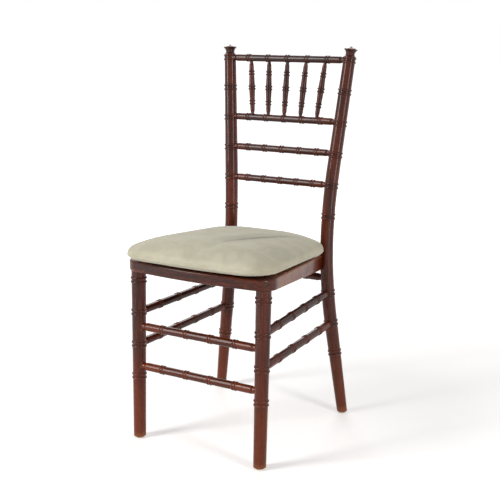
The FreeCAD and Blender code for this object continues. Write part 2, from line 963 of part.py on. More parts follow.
def seat_placement():
    """The frame on the seat's top plane, with its Z square to the seat."""
    tilt = math.degrees(math.atan(seat_slope))
    origin = V(0, seat_ref_y, top_plane(seat_ref_y))
    return FreeCAD.Placement(origin, FreeCAD.Rotation(V(1, 0, 0), -tilt))


def cushion_placement():
    turn = FreeCAD.Rotation(V(0, 0, 1), cushion_turn)
    return seat_placement().multiply(FreeCAD.Placement(V(cushion_shift_x, 0, 0), turn))


def cushion_wire(inset, height):
    """The cushion's outline at one height above the seat plane, set in from its widest line."""
    stretch = math.hypot(1, seat_slope)
    rear_half_width = seat_rear_half_width + cushion_rear_outset
    front = (seat_front_y - cushion_front_overhang - seat_ref_y) * stretch
    rear = (seat_rear_y - cushion_rear_inset - seat_ref_y) * stretch
    limit = cushion_crown_corner_share * (rear_half_width - inset)
    return seat_outline(
        seat_half_width - cushion_inset, front, cushion_front_bow, rear_half_width, rear,
        min(cushion_front_corner, limit + cushion_crown_corner_more), min(cushion_rear_corner, limit),
        inset, inset, height)


def cushion_body(shrink, low, high_trim):
    """A crowned solid: the cushion's profile, shrunk evenly, lofted through its outlines."""
    full = cushion_profile[-1][0]
    wires = []
    for height, inset in cushion_profile:
        level = low + height * (full - low - high_trim + cushion_lift) / full
        wires.append(cushion_wire(inset + shrink, level))
    return Part.makeLoft(wires, True, True)


def cushion_plate(inset, low, thickness):
    return Part.Face(cushion_wire(inset, low)).extrude(V(0, 0, thickness))


def pad_boxes(low, thickness):
    """Four flat fastening pads near the corners, in the seat's frame."""
    boxes = []
    rows = ((pad_front_x, seat_front_y + pad_front_inset), (pad_rear_x, seat_rear_y - pad_rear_inset))
    for x, y in rows:
        for side in (-1, 1):
            corner = V(side * x - pad_length / 2, y - seat_ref_y - pad_width / 2, low)
            boxes.append(Part.makeBox(pad_length, pad_width, thickness, corner))
    return boxes


def placed(shapes, placement):
    for shape in shapes:
        shape.Placement = placement.multiply(shape.Placement)
    return shapes


# Assembly

def main():
    os.makedirs("parts", exist_ok=True)
    sides = {"left": -1, "right": 1}

    post = right_post()
    legs = {side: front_leg(sign) for side, sign in sides.items()}
    front_rail, side_rail, rear_rail = seat_frame_pieces()
    board = seat_board()

    # Back rails, spindles and their sockets
    upper, lower = post_pairs()
    rails = {}
    heights = {name: upper[pair] + back_rail_raise[name] for name, pair in back_rail_pair_numbers.items()}
    for name, along in heights.items():
        left = post_point(-1, along)
        right = post_point(1, along)
        gap = post_radius(along) - tenon_depth
        rail, sockets = turned_bar(
            left, right, gap, gap, back_rail_nodes, back_rail_radius, rail_tenon_radius, rail_bead_rise)
        rails[name] = rail
        post = post.cut(sockets[1])
    top_y = post_point(1, heights["top"])
    low_y = post_point(1, heights["second"])
    for number in range(spindle_count):
        place = number - (spindle_count - 1) / 2
        high_point = V(place * spindle_top_pitch, top_y.y, top_y.z)
        low_point = V(place * spindle_low_pitch, low_y.y, low_y.z)
        bar, sockets = spindle(high_point, low_point)
        save("spindle_%d" % (number + 1), bar)
        rails["top"] = rails["top"].cut(sockets[0])
        rails["second"] = rails["second"].cut(sockets[1])
    for name, rail in rails.items():
        save("back_rail_" + name, rail)

    # Side rungs
    for name, leg_pair in side_rung_leg_pair_numbers.items():
        along = lower[side_rung_post_pair_numbers[name]]
        for side, sign in sides.items():
            front_point = leg_axis(sign, leg_pair_z(leg_pair))
            rear_point = post_point(sign, along)
            bar, sockets = turned_bar(
                front_point, rear_point,
                leg_radius(front_point.z) - tenon_depth, post_radius(along) - tenon_depth,
                rung_nodes, rung_radius, rung_tenon_radius, rail_bead_rise)
            save("side_rung_%s_%s" % (name, side), bar)
            legs[side] = legs[side].cut(sockets[0])
            if side == "right":
                post = post.cut(sockets[1])

    # Front rungs and the rear rung
    for name, height in front_rung_heights.items():
        gap = leg_radius(height) - tenon_depth
        bar, sockets = turned_bar(
            leg_axis(-1, height), leg_axis(1, height), gap, gap,
            rung_nodes, rung_radius, rung_tenon_radius, rail_bead_rise)
        save("front_rung_" + name, bar)
        legs["left"] = legs["left"].cut(sockets[0])
        legs["right"] = legs["right"].cut(sockets[1])
    along = post_along(rear_rung_height)
    gap = post_radius(along) - tenon_depth
    bar, sockets = turned_bar(
        post_point(-1, along), post_point(1, along), gap, gap,
        rung_nodes, rung_radius, rung_tenon_radius, rail_bead_rise)
    save("rear_rung", bar)
    post = post.cut(sockets[1])

    # Seat frame, its screws and bolts
    for side, sign in sides.items():
        front_rail = leg_mortise(sign, front_rail)
        shank_hole = leg_screw(sign, screw_clearance)
        head_pocket = leg_screw_pocket_cut(sign)
        front_rail = front_rail.cut(shank_hole).cut(head_pocket)
        board = board.cut(shank_hole).cut(head_pocket)
        legs[side] = legs[side].cut(shank_hole)
    side_left = mirrored(side_rail)
    for x, y in board_screw_places():
        hole = board_screw(x, y, screw_clearance)
        board = board.cut(hole)
        if y < seat_joint_y():
            front_rail = front_rail.cut(hole)
        elif y > seat_rear_y - seat_rear_rail_width:
            rear_rail = rear_rail.cut(hole)
        elif x > 0:
            side_rail = side_rail.cut(hole)
        else:
            side_left = side_left.cut(hole)
    shank_hole, head_pocket = seat_bolt_holes()
    post = post.cut(shank_hole).cut(head_pocket)
    side_rail = side_rail.cut(shank_hole)
    side_left = side_left.cut(mirrored(shank_hole))
    nut_hole = barrel_nut_hole()
    for hole in (shank_hole, nut_hole):
        rear_rail = rear_rail.cut(hole).cut(mirrored(hole))
    save("seat_front_rail", front_rail)
    save("seat_side_rail_right", side_rail)
    save("seat_side_rail_left", side_left)
    save("seat_rear_rail", rear_rail)
    save("seat_board", board)
    save("seat_board_screws", [board_screw(x, y) for x, y in board_screw_places()])
    save("leg_screws", [leg_screw(-1), leg_screw(1)])
    save("seat_bolts", [seat_bolt(-1), seat_bolt(1)])
    plug = bolt_plug()
    save("bolt_plugs", [mirrored(plug), plug])
    nut = barrel_nut()
    save("barrel_nuts", [mirrored(nut), nut])

    # Legs, posts and what they stand on
    nails = []
    post_foot, _ = post_at(post_along(glide_height))
    post = post.cut(glide_nail(post_foot, screw_clearance))
    for side, sign in sides.items():
        feet = {
            "front": leg_axis(sign, glide_height),
            "rear": V(sign * post_foot.x, post_foot.y, glide_height),
        }
        for end, foot in feet.items():
            save("glide_%s_%s" % (end, side), glide(foot))
            nails.append(glide_nail(foot))
        legs[side] = legs[side].cut(glide_nail(feet["front"], screw_clearance))
        save("front_leg_" + side, legs[side])
    save("glide_nails", nails)
    save("back_post_right", post)
    save("back_post_left", mirrored(post))

    # Cushion
    inner_shrink = cover_thickness + cover_clearance
    base_low = cushion_lift + cover_thickness + cover_clearance
    pocket_low = base_low - overlap
    pocket_height = overlap + base_thickness + cover_clearance
    shell = cushion_body(0, cushion_lift, 0)
    filling = cushion_body(inner_shrink, base_low, inner_shrink)
    cavity = cushion_body(cover_thickness, cushion_lift + cover_thickness, cover_thickness)
    cover = shell.cut(cavity)
    base = cushion_plate(base_inset, base_low, base_thickness)
    foam = filling.cut(cushion_plate(base_inset - cover_clearance, pocket_low, pocket_height))
    cloth_low = cushion_lift - under_cloth_thickness
    cloth = cushion_plate(under_cloth_inset, cloth_low, under_cloth_thickness)
    board_top = -board_recess / math.hypot(1, seat_slope)
    pad_thickness = (cloth_low - board_top - pad_gap) / 2
    loops = placed(pad_boxes(board_top, pad_thickness), seat_placement())
    hooks = placed(pad_boxes(cloth_low - pad_thickness, pad_thickness), seat_placement())
    cover, foam, base, cloth = placed([cover, foam, base, cloth], cushion_placement())
    relief_top = top_plane(seat_rear_y) + cushion_lift + cushion_profile[-1][0] + tool_reach
    relief = post_envelope(under_plane(seat_rear_y), relief_top, cushion_post_clearance)
    relief = relief.fuse(mirrored(relief))
    save("cushion_cover", cover.cut(relief))
    save("cushion_foam", foam.cut(relief))
    save("cushion_base_board", base)
    save("cushion_under_cloth", cloth)
    save("loop_pads", loops)
    save("hook_pads", hooks)

    for name in sorted(parts):
        shape = parts[name]
        print(name, len(shape.Solids), shape.isValid(), round(shape.Volume / 1000, 2))
    whole = Part.makeCompound(list(parts.values())).BoundBox
    print("box", [round(value, 2) for value in (
        whole.XMin, whole.YMin, whole.ZMin, whole.XMax, whole.YMax, whole.ZMax)])


main()
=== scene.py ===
import math

import bmesh
import bpy
import numpy as np
from mathutils import Matrix, Vector
from mathutils.bvhtree import BVHTree


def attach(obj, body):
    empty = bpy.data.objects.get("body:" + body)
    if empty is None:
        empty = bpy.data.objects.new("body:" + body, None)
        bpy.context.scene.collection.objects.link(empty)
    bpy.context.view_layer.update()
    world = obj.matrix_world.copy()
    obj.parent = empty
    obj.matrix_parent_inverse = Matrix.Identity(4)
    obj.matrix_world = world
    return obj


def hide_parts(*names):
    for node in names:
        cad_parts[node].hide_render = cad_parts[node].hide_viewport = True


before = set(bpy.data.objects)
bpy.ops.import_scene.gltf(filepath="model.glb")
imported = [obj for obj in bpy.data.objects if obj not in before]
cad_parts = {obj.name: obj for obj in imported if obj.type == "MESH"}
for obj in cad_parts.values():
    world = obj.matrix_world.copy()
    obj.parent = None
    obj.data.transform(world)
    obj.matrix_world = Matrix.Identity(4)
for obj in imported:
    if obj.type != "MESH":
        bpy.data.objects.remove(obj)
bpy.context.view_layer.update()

# The photograph's view: metres and degrees in the frame of the chair
CAMERA_PLACE = Vector((1.2444, -1.9714, 1.0163))
CAMERA_TARGET = Vector((-0.0002, 0.0410, 0.4341))
CAMERA_ROLL = -0.503
CAMERA_LENS = 72.18


def new_material(name):
    material = bpy.data.materials.new(name)
    material.use_nodes = True
    tree = material.node_tree
    tree.nodes.clear()
    output = tree.nodes.new("ShaderNodeOutputMaterial")
    shader = tree.nodes.new("ShaderNodeBsdfPrincipled")
    tree.links.new(shader.outputs["BSDF"], output.inputs["Surface"])
    return material, tree, shader


def math_node(tree, operation, first, second=0.0, clamp=False):
    node = tree.nodes.new("ShaderNodeMath")
    node.operation = operation
    node.use_clamp = clamp
    for socket, value in zip(node.inputs, (first, second)):
        if isinstance(value, (int, float)):
            socket.default_value = value
        else:
            tree.links.new(value, socket)
    return node.outputs[0]


def remap(tree, value, low, high, out_low=0.0, out_high=1.0):
    """Map a value smoothly from one range to another, clamped."""
    node = tree.nodes.new("ShaderNodeMapRange")
    node.interpolation_type = "SMOOTHSTEP"
    tree.links.new(value, node.inputs["Value"])
    node.inputs["From Min"].default_value = low
    node.inputs["From Max"].default_value = high
    node.inputs["To Min"].default_value = out_low
    node.inputs["To Max"].default_value = out_high
    return node.outputs["Result"]


def mix_colour(tree, share, first, second, blend="MIX"):
    node = tree.nodes.new("ShaderNodeMix")
    node.data_type = "RGBA"
    node.blend_type = blend
    for socket, value in ((node.inputs[0], share), (node.inputs[6], first), (node.inputs[7], second)):
        if isinstance(value, (int, float)):
            socket.default_value = value
        elif isinstance(value, tuple):
            socket.default_value = (*value, 1.0)
        else:
            tree.links.new(value, socket)
    return node.outputs[2]


def linear(red, green, blue):
    """A colour of the screen, 0 to 255, as the linear values that a shader takes."""
    shares = [channel / 255 for channel in (red, green, blue)]
    return tuple(s / 12.92 if s <= 0.04045 else ((s + 0.055) / 1.055) ** 2.4 for s in shares)


def coordinates(tree, scale, shift=True):
    """The chair's own coordinates, stretched by scale, moved by a different step on each piece."""
    source = tree.nodes.new("ShaderNodeTexCoord")
    vector = source.outputs["Object"]
    if shift:
        info = tree.nodes.new("ShaderNodeObjectInfo")
        step = math_node(tree, "MULTIPLY", info.outputs["Random"], 7.3)
        offset = tree.nodes.new("ShaderNodeVectorMath")
        tree.links.new(vector, offset.inputs[0])
        tree.links.new(step, offset.inputs[1])
        vector = offset.outputs[0]
    mapping = tree.nodes.new("ShaderNodeMapping")
    mapping.inputs["Scale"].default_value = scale
    tree.links.new(vector, mapping.inputs["Vector"])
    return mapping.outputs["Vector"]


def noise(tree, vector, scale, detail=2.0, rough=0.5, distortion=0.0):
    node = tree.nodes.new("ShaderNodeTexNoise")
    tree.links.new(vector, node.inputs["Vector"])
    node.inputs["Scale"].default_value = scale
    node.inputs["Detail"].default_value = detail
    node.inputs["Roughness"].default_value = rough
    node.inputs["Distortion"].default_value = distortion
    return node.outputs["Fac"]


def bump(tree, shader, height, strength, distance):
    node = tree.nodes.new("ShaderNodeBump")
    node.inputs["Strength"].default_value = strength
    node.inputs["Distance"].default_value = distance
    tree.links.new(height, node.inputs["Height"])
    tree.links.new(node.outputs["Normal"], shader.inputs["Normal"])


# Lacquered wood

GRAIN_STRETCH = 0.045
# Heights between which the stain turns warmer towards the feet, and between which painted shade darkens the
# wood towards the top
WARM_HEIGHTS = (0.30, 0.02)
PAINTED_SHADE_HEIGHTS = (0.45, 0.85)
STAIN_DARK = linear(52, 19, 10)
STAIN_MID = linear(94, 36, 16)
STAIN_WARM = linear(134, 60, 22)
# The colour of grain lines and pores, also used for painted shade towards the top
STAIN_LINE_AND_SHADE = linear(22, 8, 6)
STAIN_WORN = linear(150, 92, 56)


def lacquered_wood(name, grain, warmth=0.0):
    """Dark mahogany stain under gloss lacquer, with the grain along the axis that grain names."""
    material, tree, shader = new_material(name)
    scale = [1.0, 1.0, 1.0]
    scale["xyz".index(grain)] = GRAIN_STRETCH
    along = coordinates(tree, scale)
    cloud = noise(tree, along, 42.0, 3.0, 0.55, 0.4)
    streak = noise(tree, along, 330.0, 4.0, 0.6, 0.2)
    pores = noise(tree, along, 1500.0, 2.0, 0.5)
    colour = mix_colour(tree, remap(tree, cloud, 0.32, 0.68), STAIN_DARK, STAIN_MID)
    colour = mix_colour(tree, remap(tree, streak, 0.50, 0.78, 0.0, 0.75), colour, STAIN_WARM)
    colour = mix_colour(tree, remap(tree, streak, 0.46, 0.26, 0.0, 0.6), colour, STAIN_LINE_AND_SHADE)
    place = tree.nodes.new("ShaderNodeSeparateXYZ")
    geometry = tree.nodes.new("ShaderNodeNewGeometry")
    source = tree.nodes.new("ShaderNodeTexCoord")
    tree.links.new(source.outputs["Object"], place.inputs[0])
    low = remap(tree, place.outputs["Z"], *WARM_HEIGHTS, warmth, warmth + 0.35)
    colour = mix_colour(tree, low, colour, STAIN_WARM)
    # Painted shade: the wood darker towards the top, standing in for the dark reflections on the back's
    # rails
    high = remap(tree, place.outputs["Z"], *PAINTED_SHADE_HEIGHTS, 0.0, 0.35)
    colour = mix_colour(tree, high, colour, STAIN_LINE_AND_SHADE)
    worn = remap(tree, geometry.outputs["Pointiness"], 0.53, 0.60, 0.0, 0.55)
    colour = mix_colour(tree, worn, colour, STAIN_WORN)
    crevice = remap(tree, geometry.outputs["Pointiness"], 0.49, 0.42, 0.0, 0.8)
    colour = mix_colour(tree, crevice, colour, STAIN_LINE_AND_SHADE)
    colour = mix_colour(tree, remap(tree, pores, 0.60, 0.72, 0.0, 0.5), colour, STAIN_LINE_AND_SHADE)
    tree.links.new(colour, shader.inputs["Base Color"])
    smudge = noise(tree, coordinates(tree, (1.0, 1.0, 1.0)), 26.0, 3.0, 0.6)
    tree.links.new(remap(tree, smudge, 0.35, 0.7, 0.24, 0.38), shader.inputs["Roughness"])
    shader.inputs["Specular IOR Level"].default_value = 0.1
    shader.inputs["Coat Weight"].default_value = 0.34
    shader.inputs["Coat Roughness"].default_value = 0.12
    shader.inputs["Coat IOR"].default_value = 1.5
    raised = math_node(tree, "MULTIPLY", streak, 0.6)
    sunk = math_node(tree, "MULTIPLY", pores, -0.4)
    bump(tree, shader, math_node(tree, "ADD", raised, sunk), 0.12, 0.0004)
    return material


def plywood():
    material, tree, shader = new_material("plywood")
    along = coordinates(tree, (1.0, 0.06, 1.0))
    figure = noise(tree, along, 55.0, 4.0, 0.6, 1.2)
    fibre = noise(tree, along, 700.0, 2.0, 0.6)
    colour = mix_colour(tree, remap(tree, figure, 0.35, 0.65), linear(176, 134, 92), linear(206, 168, 122))
    colour = mix_colour(tree, remap(tree, fibre, 0.5, 0.75, 0.0, 0.5), colour, linear(140, 100, 66))
    tree.links.new(colour, shader.inputs["Base Color"])
    shader.inputs["Roughness"].default_value = 0.62
    bump(tree, shader, fibre, 0.2, 0.0003)
    return material


def zinc_steel():
    material, tree, shader = new_material("zinc_steel")
    spangle = noise(tree, coordinates(tree, (1.0, 1.0, 1.0)), 420.0, 2.0, 0.5)
    colour = mix_colour(tree, remap(tree, spangle, 0.4, 0.65), linear(176, 176, 172), linear(205, 204, 198))
    tree.links.new(colour, shader.inputs["Base Color"])
    tree.links.new(remap(tree, spangle, 0.35, 0.7, 0.28, 0.45), shader.inputs["Roughness"])
    shader.inputs["Metallic"].default_value = 1.0
    return material


def glide_plastic():
    material, tree, shader = new_material("glide_plastic")
    scuff = noise(tree, coordinates(tree, (1.0, 1.0, 1.0)), 180.0, 4.0, 0.65)
    place = tree.nodes.new("ShaderNodeSeparateXYZ")
    source = tree.nodes.new("ShaderNodeTexCoord")
    tree.links.new(source.outputs["Object"], place.inputs[0])
    near_floor = remap(tree, place.outputs["Z"], 0.004, 0.0)
    dirt = math_node(tree, "MULTIPLY", near_floor, remap(tree, scuff, 0.4, 0.65))
    colour = mix_colour(tree, dirt, linear(214, 206, 184), linear(150, 138, 116))
    tree.links.new(colour, shader.inputs["Base Color"])
    shader.inputs["Roughness"].default_value = 0.42
    shader.inputs["Subsurface Weight"].default_value = 0.15
    bump(tree, shader, scuff, 0.15, 0.0002)
    return material


def foam():
    material, tree, shader = new_material("cushion_foam")
    cells = noise(tree, coordinates(tree, (1.0, 1.0, 1.0)), 900.0, 3.0, 0.7)
    colour = mix_colour(tree, remap(tree, cells, 0.35, 0.65), linear(196, 184, 140), linear(232, 224, 190))
    tree.links.new(colour, shader.inputs["Base Color"])
    shader.inputs["Roughness"].default_value = 0.95
    bump(tree, shader, cells, 0.5, 0.0006)
    return material


WOOD_NODES = {
    "z": ("front_leg_", "back_post_", "spindle_", "bolt_plugs"),
    "y": ("side_rung_", "seat_side_rail_", "seat_board"),
    "x": ("back_rail_", "rear_rung", "seat_front_rail", "seat_rear_rail"),
}
SCREW_NODES = ("seat_board_screws", "leg_screws", "seat_bolts", "barrel_nuts", "glide_nails")


def dress_frame():
    """Give every CAD node its material. Where two names fit a node, the later one holds."""
    finishes = {}
    for axis, starts in WOOD_NODES.items():
        wood = lacquered_wood("lacquered_wood_" + axis, axis)
        for start in starts:
            finishes[start] = wood
    finishes["front_rung"] = lacquered_wood("lacquered_wood_warm", "x", 0.3)
    finishes["cushion_base_board"] = plywood()
    steel = zinc_steel()
    finishes["glide_"] = glide_plastic()
    for name in SCREW_NODES:
        finishes[name] = steel
    pad = foam()
    for name in ("cushion_foam", "cushion_cover"):
        finishes[name] = pad
    for name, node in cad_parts.items():
        fitting = [finish for start, finish in finishes.items() if name.startswith(start)]
        if fitting:
            node.data.materials.clear()
            node.data.materials.append(fitting[-1])


dress_frame()


# Seat cushion

SEAT_SLOPE = 0.08
TILT = Matrix.Rotation(-math.atan(SEAT_SLOPE), 4, "X")
WELD = 0.00001
VOXEL = 0.0045
SWELL_CAP = 0.002
COVER_OVER_FOAM = 0.0010
COVER_OFF_POST = 0.0006
SEAM_HEIGHT = 0.0160
SEAM_DEPTH = 0.0007
SEAM_WIDTH = 0.0009
SEAM_PUCKER = 0.25
SEAM_PUCKER_WAVES = (610.0, 570.0)
SEAM_STEPS = (-0.0026, -0.0014, -0.0007, 0.0, 0.0007, 0.0014, 0.0026)
CLOTH_PRESSURE = 4.0
CLOTH_FRAMES = 20
HELD_HEIGHT = 0.0015


def level_mesh(node):
    """A copy of a CAD node's mesh, turned so that the sloping seat lies level."""
    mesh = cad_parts[node].data.copy()
    mesh.transform(TILT.inverted())
    return mesh


def coordinates_of(mesh):
    flat = np.zeros(len(mesh.vertices) * 3)
    mesh.vertices.foreach_get("co", flat)
    return flat.reshape(-1, 3)


def set_coordinates(mesh, points):
    mesh.vertices.foreach_set("co", np.asarray(points, float).ravel())
    mesh.update()


def new_object(name, mesh):
    piece = bpy.data.objects.new(name, mesh)
    bpy.context.scene.collection.objects.link(piece)
    return piece


def applied(piece):
    """The piece's mesh with its modifiers applied."""
    graph = bpy.context.evaluated_depsgraph_get()
    mesh = bpy.data.meshes.new_from_object(piece.evaluated_get(graph))
    piece.modifiers.clear()
    piece.data = mesh
    return mesh


def tree_of(mesh):
    points = [Vector(point) for point in coordinates_of(mesh)]
    mesh.calc_loop_triangles()
    return BVHTree.FromPolygons(points, [tuple(t.vertices) for t in mesh.loop_triangles])


def keep_outside(points, tree, clearance, reach=0.02):
    """Move each point that is within clearance of a closed form, or inside it, out to clearance."""
    for index, point in enumerate(points):
        place, normal, _, distance = tree.find_nearest(Vector(point), reach)
        if place is None:
            continue
        out = (Vector(point) - place).dot(normal)
        if out < clearance:
            points[index] = place + normal * clearance
    return points


def smooth_shade(mesh):
    mesh.polygons.foreach_set("use_smooth", [True] * len(mesh.polygons))


SUEDE_LIGHT = linear(204, 203, 182)
SUEDE_SHADE = linear(188, 186, 164)
SUEDE_WARM = linear(208, 194, 168)
# The painted shade of nap brushed the other way
SUEDE_BRUSHED_SHADE = linear(128, 124, 104)
# Painted shade where the nap is brushed the other way: middle, turn, half sizes and strength
NAP_SHADE_STREAKS = (
    ((0.075, -0.040, 0.484), 71.0, (0.155, 0.016, 0.070), 0.80),
    ((0.052, -0.046, 0.486), 71.0, (0.150, 0.050, 0.070), 0.32),
)


def suede():
    """Ivory suede cloth: short nap that lies in soft patches, with painted shade in streaks where the nap
    is brushed the other way.
    """
    material, tree, shader = new_material("cushion_suede")
    everywhere = coordinates(tree, (1.0, 1.0, 1.0), False)
    patches = noise(tree, everywhere, 16.0, 4.0, 0.62, 0.8)
    mottle = noise(tree, everywhere, 60.0, 4.0, 0.6, 0.4)
    fibres = noise(tree, everywhere, 1400.0, 3.0, 0.7)
    colour = mix_colour(tree, remap(tree, patches, 0.35, 0.68), SUEDE_LIGHT, SUEDE_SHADE)
    colour = mix_colour(tree, remap(tree, mottle, 0.45, 0.72, 0.0, 0.6), colour, SUEDE_WARM)
    colour = mix_colour(tree, remap(tree, fibres, 0.35, 0.7, 0.0, 0.35), colour, SUEDE_SHADE)
    for middle, turn, size, strength in NAP_SHADE_STREAKS:
        source = tree.nodes.new("ShaderNodeTexCoord")
        mapping = tree.nodes.new("ShaderNodeMapping")
        mapping.vector_type = "TEXTURE"
        mapping.inputs["Location"].default_value = middle
        mapping.inputs["Rotation"].default_value = (0.0, 0.0, math.radians(turn))
        mapping.inputs["Scale"].default_value = size
        ball = tree.nodes.new("ShaderNodeTexGradient")
        ball.gradient_type = "SPHERICAL"
        tree.links.new(source.outputs["Object"], mapping.inputs["Vector"])
        tree.links.new(mapping.outputs["Vector"], ball.inputs["Vector"])
        ragged = math_node(tree, "MULTIPLY", ball.outputs["Fac"], remap(tree, mottle, 0.25, 0.6, 0.5, 1.0))
        # Painted shade: each streak darkens the cloth where the nap is brushed the other way
        colour = mix_colour(tree, remap(tree, ragged, 0.0, 0.75, 0.0, strength), colour, SUEDE_BRUSHED_SHADE)
    tree.links.new(colour, shader.inputs["Base Color"])
    shader.inputs["Roughness"].default_value = 0.92
    shader.inputs["Specular IOR Level"].default_value = 0.25
    shader.inputs["Sheen Weight"].default_value = 0.25
    shader.inputs["Sheen Roughness"].default_value = 0.45
    height = math_node(tree, "ADD", fibres, math_node(tree, "MULTIPLY", mottle, 0.5))
    bump(tree, shader, height, 0.35, 0.0006)
    return material


def swollen(mesh):
    """Cloth under pressure over the pad, with its underside held flat on the base."""
    piece = new_object("cushion_cloth", mesh)
    before = coordinates_of(mesh)
    low = before[:, 2].min()
    held = piece.vertex_groups.new(name="held")
    held.add([int(i) for i in np.nonzero(before[:, 2] < low + HELD_HEIGHT)[0]], 1.0, "REPLACE")
    cloth = piece.modifiers.new("cloth", "CLOTH")
    cloth.settings.use_pressure = True
    cloth.settings.uniform_pressure_force = CLOTH_PRESSURE
    cloth.settings.vertex_group_mass = "held"
    cloth.settings.effector_weights.gravity = 0.0
    cloth.collision_settings.use_collision = False
    for step in range(1, CLOTH_FRAMES + 1):
        bpy.context.scene.frame_set(step)
    graph = bpy.context.evaluated_depsgraph_get()
    after = coordinates_of(piece.evaluated_get(graph).data)
    bpy.context.scene.frame_set(1)
    bpy.data.objects.remove(piece)
    move = after - before
    length = np.linalg.norm(move, axis=1, keepdims=True)
    return before + move * np.minimum(1.0, SWELL_CAP / np.maximum(length, 1e-9))


def sewn_seam(mesh, height):
    """A tucked seam at one height round the side: edge loops, with the middle ones drawn in."""
    form = bmesh.new()
    form.from_mesh(mesh)
    for step in SEAM_STEPS:
        everything = form.verts[:] + form.edges[:] + form.faces[:]
        bmesh.ops.bisect_plane(form, geom=everything, plane_co=(0, 0, height + step), plane_no=(0, 0, 1))
    form.normal_update()
    across, along = SEAM_PUCKER_WAVES
    for vertex in form.verts:
        away = (vertex.co.z - height) / SEAM_WIDTH
        if abs(away) < 3.5 and abs(vertex.normal.z) < 0.9:
            pucker = 1.0 + SEAM_PUCKER * math.sin(vertex.co.x * across) * math.sin(vertex.co.y * along)
            vertex.co -= vertex.normal * SEAM_DEPTH * pucker * math.exp(-away * away)
    form.to_mesh(mesh)
    form.free()


def welded(mesh):
    """The mesh as an editable form whose faces share their corner points."""
    form = bmesh.new()
    form.from_mesh(mesh)
    bmesh.ops.remove_doubles(form, verts=form.verts, dist=WELD)
    return form


def joined_to(start):
    """The start point and every point that edges lead to from it."""
    found = {start}
    waiting = [start]
    while waiting:
        vertex = waiting.pop()
        for link in vertex.link_edges:
            other = link.other_vert(vertex)
            if other not in found:
                found.add(other)
                waiting.append(other)
    return found


def outer_shell(mesh):
    """The mesh without its inner surfaces: only what is joined to its highest point."""
    form = welded(mesh)
    found = joined_to(max(form.verts, key=lambda vertex: vertex.co.z))
    bmesh.ops.delete(form, geom=[vertex for vertex in form.verts if vertex not in found], context="VERTS")
    form.to_mesh(mesh)
    form.free()
    return mesh


def seat_cushion():
    pad = outer_shell(level_mesh("cushion_cover"))
    low = coordinates_of(pad)[:, 2].min()
    piece = new_object("seat_cushion", pad)
    remesh = piece.modifiers.new("remesh", "REMESH")
    remesh.mode = "VOXEL"
    remesh.voxel_size = VOXEL
    mesh = applied(piece)
    set_coordinates(mesh, swollen(mesh.copy()))
    subdivide = piece.modifiers.new("subdivide", "SUBSURF")
    subdivide.levels = 1
    subdivide.render_levels = 1
    mesh = applied(piece)
    points = coordinates_of(mesh)
    points = keep_outside(points, tree_of(level_mesh("cushion_foam")), COVER_OVER_FOAM)
    for post in ("back_post_left", "back_post_right"):
        points = keep_outside(points, tree_of(level_mesh(post)), COVER_OFF_POST)
    points[:, 2] = np.maximum(points[:, 2], low)
    set_coordinates(mesh, points)
    sewn_seam(mesh, low + SEAM_HEIGHT)
    mesh.transform(TILT)
    smooth_shade(mesh)
    mesh.materials.clear()
    mesh.materials.append(suede())
    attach(piece, "cushion")
    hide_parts("cushion_cover")


seat_cushion()


# Dust cloth under the cushion, with its hem and staples, and the fastening tape

CLOTH_STEP = 0.006
CLOTH_RECESS = 0.0003
CLOTH_LEVEL = 0.00025
CLOTH_WAVE = 0.00015
CLOTH_WAVES = (71.0, 57.0)
HEM_WIDTH = 0.009
HEM_DROP = 0.0003
STAPLE_LENGTH = 0.011
STAPLE_WIDTH = 0.0012
STAPLE_DROP = 0.0004
STAPLE_SPACING = 0.055
STAPLE_INSET = 0.0045
CLOTH_RINGS = (1.0, 0.9, 0.75, 0.6, 0.45, 0.3, 0.15)
TAPE_CORNER = 0.004
TAPE_EDGE = 0.0004
TAPE_POINTS = 24


def black_weave(name, scale, strength):
    material, tree, shader = new_material(name)
    fibres = noise(tree, coordinates(tree, (1.0, 1.0, 1.0)), scale, 3.0, 0.7)
    colour = mix_colour(tree, remap(tree, fibres, 0.35, 0.65), linear(16, 16, 17), linear(46, 45, 46))
    tree.links.new(colour, shader.inputs["Base Color"])
    shader.inputs["Roughness"].default_value = 0.88
    bump(tree, shader, fibres, strength, 0.0004)
    return material


def islands(mesh):
    """The boxes of a mesh's separate pieces, each as its lowest and highest corner."""
    form = welded(mesh)
    left = set(form.verts)
    boxes = []
    while left:
        found = joined_to(next(iter(left)))
        left -= found
        points = np.array([tuple(vertex.co) for vertex in found])
        boxes.append((points.min(axis=0), points.max(axis=0)))
    form.free()
    return sorted(boxes, key=lambda box: (round(box[0][1], 3), box[0][0]))


def outline_of(points):
    """The corner points of a flat convex piece in order round its middle."""
    low = points[:, 2].min()
    flat = np.unique(np.round(points[points[:, 2] < low + 0.0001], 6), axis=0)
    middle = (flat.min(axis=0) + flat.max(axis=0)) / 2
    angles = np.arctan2(flat[:, 1] - middle[1], flat[:, 0] - middle[0])
    return flat[np.argsort(angles)], middle


def walked(loop, spacing):
    """Points along a closed loop at even steps, each with its direction."""
    places = []
    ahead = np.roll(loop, -1, axis=0) - loop
    lengths = np.linalg.norm(ahead, axis=1)
    count = round(lengths.sum() / spacing)
    marks = (np.arange(count) + 0.5) * lengths.sum() / count
    ends = np.cumsum(lengths)
    for mark in marks:
        index = int(np.searchsorted(ends, mark))
        direction = ahead[index] / lengths[index]
        places.append((loop[index] + direction * (mark - ends[index] + lengths[index]), direction))
    return places


